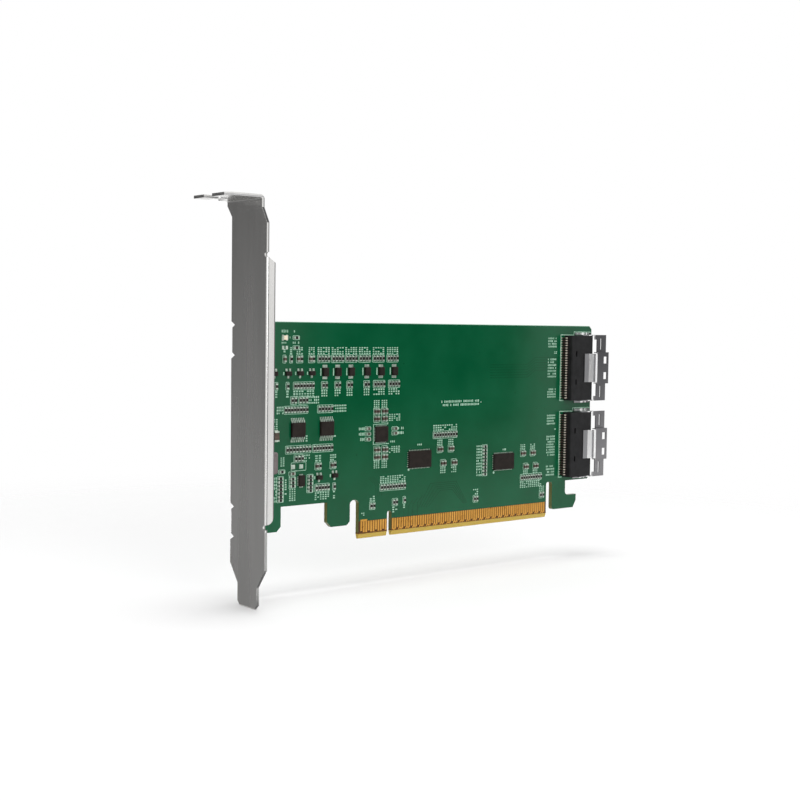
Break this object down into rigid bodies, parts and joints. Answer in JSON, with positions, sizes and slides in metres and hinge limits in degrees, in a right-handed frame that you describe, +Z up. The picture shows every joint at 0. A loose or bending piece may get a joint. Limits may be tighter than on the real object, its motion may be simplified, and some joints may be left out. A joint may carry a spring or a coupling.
{
  "type": "storage adapter card",
  "caption": "Low-height adapter card with a full-height slot bracket, a keyed gold edge connector and cable connectors at its inner end.",
  "frame": {"origin": "on the middle plane of the board, on the centre line of the key notch, at the bottom edge of the gold fingers", "axes": "+X along the board away from the bracket, -Y out of the component side, +Z up from the edge connector"},
  "size_m": [0.1687, 0.021, 0.12],
  "materials": {
    "board_mask": "satin green solder mask",
    "contact_gold": "hard gold plating",
    "bracket_steel": "satin nickel-plated steel",
    "screw_steel": "bright plated steel",
    "resistor_body": "black glaze",
    "solder_tin": "bright tin",
    "capacitor_body": "tan ceramic",
    "chip_mould": "matt black moulding",
    "inductor_body": "pressed grey powder",
    "lamp_body": "cream diffuser",
    "housing_plastic": "black moulding",
    "shell_steel": "plated spring steel",
    "tail_tin": "tinned contact tails"
  },
  "bodies": {
    "root": {"circuit_board": "board_mask", "edge_contacts_front": "contact_gold", "edge_contacts_back": "contact_gold", "bracket": "bracket_steel", "bracket_screws": "screw_steel", "chip_resistors": "resistor_body", "chip_resistor_caps": "solder_tin", "chip_capacitors": "capacitor_body", "chip_capacitor_caps": "solder_tin", "logic_chips": "chip_mould", "logic_chip_leads": "solder_tin", "transistors": "chip_mould", "transistor_leads": "solder_tin", "diodes": "chip_mould", "diode_tabs": "solder_tin", "controller_chip": "chip_mould", "driver_chip": "chip_mould", "left_signal_chip": "chip_mould", "right_signal_chip": "chip_mould", "ceramic_capacitor": "capacitor_body", "ceramic_capacitor_caps": "solder_tin", "power_inductor": "inductor_body", "power_inductor_pads": "solder_tin", "indicator_light": "lamp_body", "indicator_light_caps": "solder_tin", "upper_connector_housing": "housing_plastic", "upper_connector_shell": "shell_steel", "upper_connector_tails": "tail_tin", "lower_connector_housing": "housing_plastic", "lower_connector_shell": "shell_steel", "lower_connector_tails": "tail_tin"}
  },
  "joints": []
}
